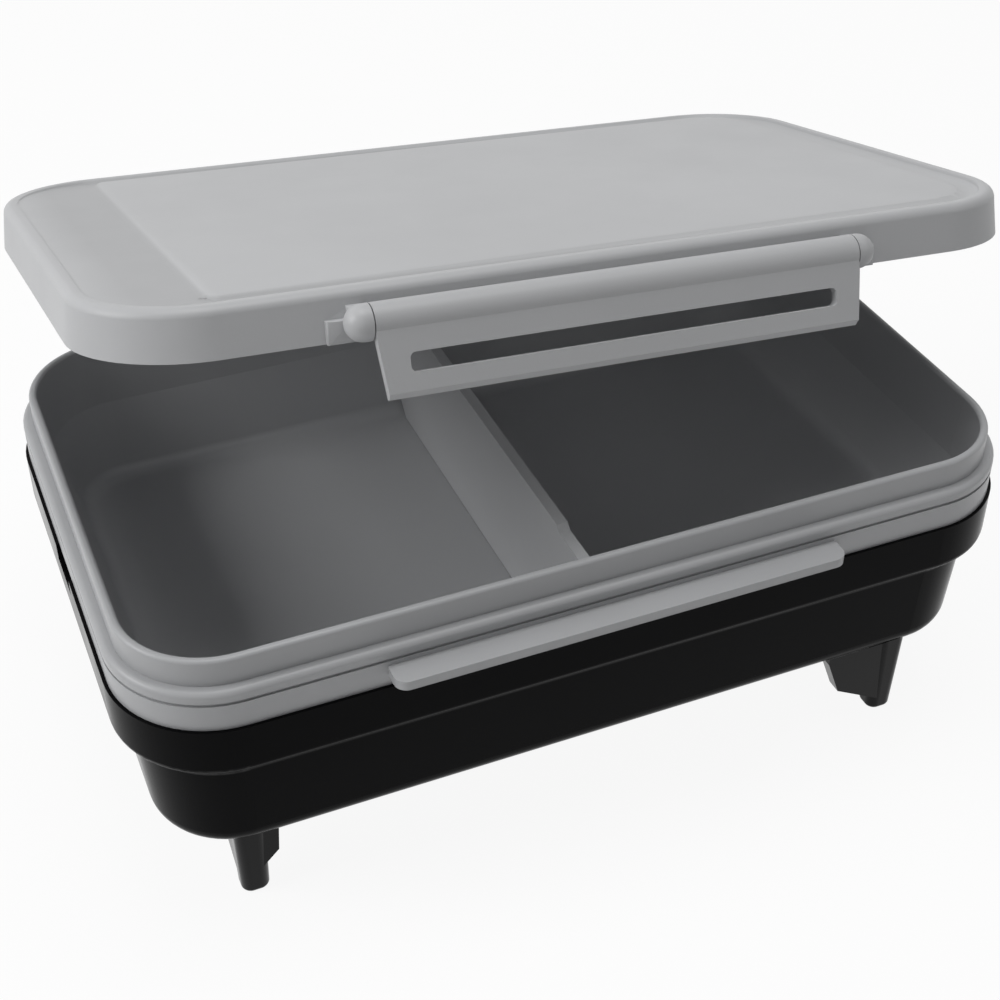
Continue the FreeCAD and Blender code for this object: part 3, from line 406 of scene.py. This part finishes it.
NEUTRAL_SLEEVE = SoftSilicone("neutral_blue_sleeve", (0.04, 0.1, 0.36))
LENS_RED = TintedLens("indicator_red", (0.5, 0.03, 0.02))


def material_of(finish: Finish) -> bpy.types.Material:
    """Find a finish's material, or make it where this is its first use."""
    return bpy.data.materials.get(finish.name) or finish.material()


def dress(nodes: dict[str, Finish]) -> None:
    """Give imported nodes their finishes.

    Args:
        nodes: the finish of each node by name.
    """
    for node, finish in nodes.items():
        mesh = FRAME["nodes"][node].data
        mesh.materials.clear()
        mesh.materials.append(material_of(finish))
        log.info("dressed %s in %s", node, finish.name)


@dataclass
class HeatedBase:
    """Black base with its legs, the well, the heating plate and what lies under it."""

    legs: tuple[str, ...] = ("front_left", "front_right", "rear_right", "rear_left")

    def dress(self) -> None:
        """Give the base's pieces their finishes."""
        dress({f"leg_{leg}": LEG_BLACK for leg in self.legs})
        dress({"base_shell": BASE_BLACK, "bottom_cover": INNER_BLACK, "inner_well": INNER_BLACK})
        dress({name: STEEL for name in ("bottom_cover_screws", "heater_clamp", "clamp_screws",
                                        "thermostat_screws", "thermal_fuse")})
        dress({name: SHEET_ALUMINIUM for name in ("heating_plate", "heat_shield", "fuse_clip",
                                                  "ptc_heater_left", "ptc_heater_right")})
        dress({"thermostat": INNER_BLACK, "power_inlet": INNER_BLACK, "inlet_pins": BRASS})
        dress({"plate_seal": SEAL_GREY, "indicator_lens": LENS_RED, "indicator_lamp": LENS_RED})
        dress({"live_wire": LIVE_SLEEVE, "bridge_wire": LIVE_SLEEVE})
        dress({"neutral_wire": NEUTRAL_SLEEVE, "heater_wire": NEUTRAL_SLEEVE})


@dataclass
class FoodTub:
    """Grey lift-out tub and its divider."""

    pieces: tuple[str, ...] = ("tub", "divider")

    def dress(self) -> None:
        """Give the tub's pieces their finishes."""
        dress({piece: TUB_GREY for piece in self.pieces})


@dataclass
class LiftOffLid:
    """Grey lid with its gasket, its two latches and their pins.

    The lid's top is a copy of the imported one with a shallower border, a finger pocket that slopes
    down to the panel, and a steep step where they meet. Sizes along it are those of the shut lid.
    """

    sides: tuple[str, ...] = ("front", "rear")
    joint: str = "lid_lift"
    merge: float = 0.000001
    slack: float = 0.00002
    recess: float = 0.0012
    border_depth: float = 0.00095
    pocket_start: float = 0.0054
    pocket_length: float = 0.024
    pocket_shallow: float = 0.0002
    pocket_deep: float = 0.0009
    step_corner: float = 0.005
    step_shift: float = 0.002
    step_reach: float = 0.075
    sharp: float = 28.0

    def shut(self) -> Matrix:
        """Work out the turn that carries the lid from where it is held to where it lies shut.

        Returns:
            The turn about the line that the lid lifts on.
        """
        joint = next(entry for entry in FRAME["joints"] if entry["name"] == self.joint)
        centre = Matrix.Translation(joint["pos_m"])
        turn = Matrix.Rotation(math.radians(joint["range_deg"][0]), 4, Vector(joint["axis"]))
        return centre @ turn @ centre.inverted()

    def shape_top(self, shape: bmesh.types.BMesh) -> None:
        """Raise the border's floor, slope the pocket, steepen the panel's step, and mark the pocket's
        painted shade, darker deeper in and towards the step.

        Args:
            shape: the lid as it lies shut.
        """
        # Mesh attribute for the pocket's painted shade.
        shade_mark = shape.verts.layers.float.new(POCKET_SHADE_MARK)
        top = max(vertex.co.z for vertex in shape.verts)
        start = min(vertex.co.x for vertex in shape.verts) + self.pocket_start
        step = start + self.pocket_length
        floor = [vertex for vertex in shape.verts
                 if abs(top - self.recess - vertex.co.z) < self.slack]
        slopes = [edge.other_vert(vertex) for vertex in floor for edge in vertex.link_edges]
        for vertex in {*floor, *slopes}:
            share = (top - vertex.co.z) / self.recess
            depth = self.border_depth
            if vertex.co.x < step + self.step_corner:
                along = min(1.0, max(0.0, (vertex.co.x - start) / self.pocket_length))
                depth = self.pocket_shallow + along * (self.pocket_deep - self.pocket_shallow)
                # Painted shade strength: grows into the recess and towards the panel's step.
                vertex[shade_mark] = along * share
                if abs(vertex.co.y) < self.step_reach and along == 1.0:
                    near = 1.0 - (vertex.co.x - step) / self.step_corner
                    vertex.co.x += near * share * self.step_shift
            vertex.co.z = top - share * depth

    def shaped_mesh(self) -> bpy.types.Mesh:
        """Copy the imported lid's mesh and shape its top.

        Returns:
            The mesh, smooth except along its sharp edges.
        """
        turn = self.shut()
        shape = bmesh.new()
        shape.from_mesh(FRAME["nodes"]["lid"].data)
        bmesh.ops.remove_doubles(shape, verts=shape.verts, dist=self.merge)
        shape.transform(turn)
        self.shape_top(shape)
        shape.transform(turn.inverted())
        bmesh.ops.recalc_face_normals(shape, faces=shape.faces)
        mesh = bpy.data.meshes.new("lid_shell")
        shape.to_mesh(mesh)
        shape.free()
        mesh.shade_smooth()
        mesh.set_sharp_from_angle(angle=math.radians(self.sharp))
        return mesh

    def build(self) -> None:
        """Make the lid's visible shell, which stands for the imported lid."""
        shell = bpy.data.objects.new("lid_shell", self.shaped_mesh())
        shell.data.materials.append(material_of(LID_TOP_GREY))
        bpy.context.scene.collection.objects.link(shell)
        shell.modifiers.new("even_normals", "WEIGHTED_NORMAL").keep_sharp = True
        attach(shell, "lid")
        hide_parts("lid")
        log.info("shaped the lid and dressed it in %s", LID_TOP_GREY.name)

    def dress(self) -> None:
        """Give the gasket, the latches and their pins their finishes."""
        dress({"lid_gasket": SEAL_GREY})
        dress({f"{side}_latch": LID_GREY for side in self.sides})
        dress({f"{side}_latch_pin": PIN_STEEL for side in self.sides})


@dataclass(frozen=True)
class SoftBox:
    """One studio lamp: a square panel that faces the object."""

    name: str
    place: Triple
    size: float
    power: float


@dataclass
class Studio:
    """White floor, soft boxes and an even surround."""

    floor_half: float = 6.0
    floor_colour: Colour = (0.9, 0.9, 0.9)
    floor_roughness: float = 0.9
    floor_gloss: float = 0.1
    floor_glow: float = 0.92
    surround: float = 0.1
    aim: Triple = (0.0, 0.0, 0.09)
    lamps: list[SoftBox] = field(default_factory=lambda: [
        SoftBox("key_left", (-1.3, 0.15, 0.9), 0.8, 12.5),
        SoftBox("top", (0.1, 0.1, 1.5), 0.9, 11.0),
        SoftBox("right_fill", (1.4, -0.7, 0.8), 1.0, 1.0),
        SoftBox("front_fill", (-0.5, -1.4, 0.55), 0.8, 0.9),
    ])

    def build(self) -> None:
        """Make the floor, the lamps and the surround."""
        self.build_floor()
        for lamp in self.lamps:
            self.build_lamp(lamp)
        self.build_surround()
        bpy.context.scene.view_settings.view_transform = "Standard"

    @staticmethod
    def seen_rays(tree: bpy.types.NodeTree) -> bpy.types.NodeSocket:
        """Tell the rays that show the background from those that only carry its light.

        Args:
            tree: the node tree of the floor or the surround.

        Returns:
            An output that gives 1 for camera, glossy and transmission rays.
        """
        rays = tree.nodes.new("ShaderNodeLightPath")
        seen = rays.outputs["Is Camera Ray"]
        for kind in ("Is Glossy Ray", "Is Transmission Ray"):
            total = tree.nodes.new("ShaderNodeMath")
            total.operation = "ADD"
            total.use_clamp = True
            tree.links.new(seen, total.inputs[0])
            tree.links.new(rays.outputs[kind], total.inputs[1])
            seen = total.outputs["Value"]
        return seen

    def floor_material(self) -> bpy.types.Material:
        """Make the floor's material.

        Returns:
            The material, which glows white for the rays that show it.
        """
        sheet = NodeSheet("studio_floor")
        sheet.shader.inputs["Base Color"].default_value = (*self.floor_colour, 1.0)
        sheet.shader.inputs["Roughness"].default_value = self.floor_roughness
        sheet.shader.inputs["Specular IOR Level"].default_value = self.floor_gloss
        glow = sheet.add("ShaderNodeEmission", Color=WHITE, Strength=1.0)
        level = sheet.add("ShaderNodeMapRange", To_Max=self.floor_glow)
        sheet.tree.links.new(self.seen_rays(sheet.tree), level.inputs["Value"])
        blend = sheet.add("ShaderNodeMixShader")
        sheet.join(level, "Result", blend, "Fac")
        sheet.tree.links.new(sheet.shader.outputs["BSDF"], blend.inputs[1])
        sheet.tree.links.new(glow.outputs["Emission"], blend.inputs[2])
        sheet.join(blend, "Shader", sheet.output, "Surface")
        return sheet.material

    def build_floor(self) -> None:
        """Lay a pale floor that stays white to the camera and keeps the shadow."""
        shape = bmesh.new()
        bmesh.ops.create_grid(shape, x_segments=1, y_segments=1, size=self.floor_half)
        mesh = bpy.data.meshes.new("studio_floor")
        shape.to_mesh(mesh)
        shape.free()
        mesh.materials.append(self.floor_material())
        floor = bpy.data.objects.new("studio_floor", mesh)
        bpy.context.scene.collection.objects.link(floor)
        log.info("laid the floor")

    def build_lamp(self, lamp: SoftBox) -> None:
        """Hang one soft box and turn it to the object.

        Args:
            lamp: the soft box.
        """
        light = bpy.data.lights.new(lamp.name, "AREA")
        light.size = lamp.size
        light.energy = lamp.power
        holder = bpy.data.objects.new(lamp.name, light)
        holder.location = lamp.place
        ray = Vector(self.aim) - Vector(lamp.place)
        holder.rotation_euler = ray.to_track_quat("-Z", "Y").to_euler()
        bpy.context.scene.collection.objects.link(holder)
        log.info("hung lamp %s", lamp.name)

    def build_surround(self) -> None:
        """Set an even surround that is white to the camera."""
        world = bpy.data.worlds.new("studio_surround")
        world.use_nodes = True
        tree = world.node_tree
        tree.nodes.clear()
        level = tree.nodes.new("ShaderNodeMapRange")
        level.inputs["To Min"].default_value = self.surround
        level.inputs["To Max"].default_value = 1.0
        background = tree.nodes.new("ShaderNodeBackground")
        background.inputs["Color"].default_value = WHITE
        output = tree.nodes.new("ShaderNodeOutputWorld")
        tree.links.new(self.seen_rays(tree), level.inputs["Value"])
        tree.links.new(level.outputs["Result"], background.inputs["Strength"])
        tree.links.new(background.outputs["Background"], output.inputs["Surface"])
        bpy.context.scene.world = world
        log.info("set the surround")


@dataclass
class PhotoCamera:
    """Camera at the photograph's place, in front, to the left and above."""

    place: Triple = (-0.1609, -0.3815, 0.3754)
    yaw: float = 22.78
    pitch: float = 37.4
    lens: float = 61.49
    sensor: float = 36.0
    nearest: float = 0.02

    def build(self) -> None:
        """Set up the camera and make it the scene's own."""
        data = bpy.data.cameras.new("photo_camera")
        data.lens = self.lens
        data.sensor_width = self.sensor
        data.clip_start = self.nearest
        camera = bpy.data.objects.new("photo_camera", data)
        yaw, pitch = math.radians(self.yaw), math.radians(self.pitch)
        ahead = math.cos(pitch)
        sight = Vector((math.sin(yaw) * ahead, math.cos(yaw) * ahead, -math.sin(pitch)))
        camera.location = self.place
        camera.rotation_euler = sight.to_track_quat("-Z", "Y").to_euler()
        bpy.context.scene.collection.objects.link(camera)
        bpy.context.scene.camera = camera
        log.info("placed the camera")


def write_sizes() -> None:
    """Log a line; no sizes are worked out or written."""
    log.info("wrote the sizes")


def main() -> None:
    """Dress the warmer, build the studio and place the camera."""
    logging.basicConfig(level=logging.INFO, format="%(name)s: %(message)s")
    HeatedBase().dress()
    FoodTub().dress()
    lid = LiftOffLid()
    lid.build()
    lid.dress()
    Studio().build()
    PhotoCamera().build()
    write_sizes()


if __name__ == "__main__":
    main()
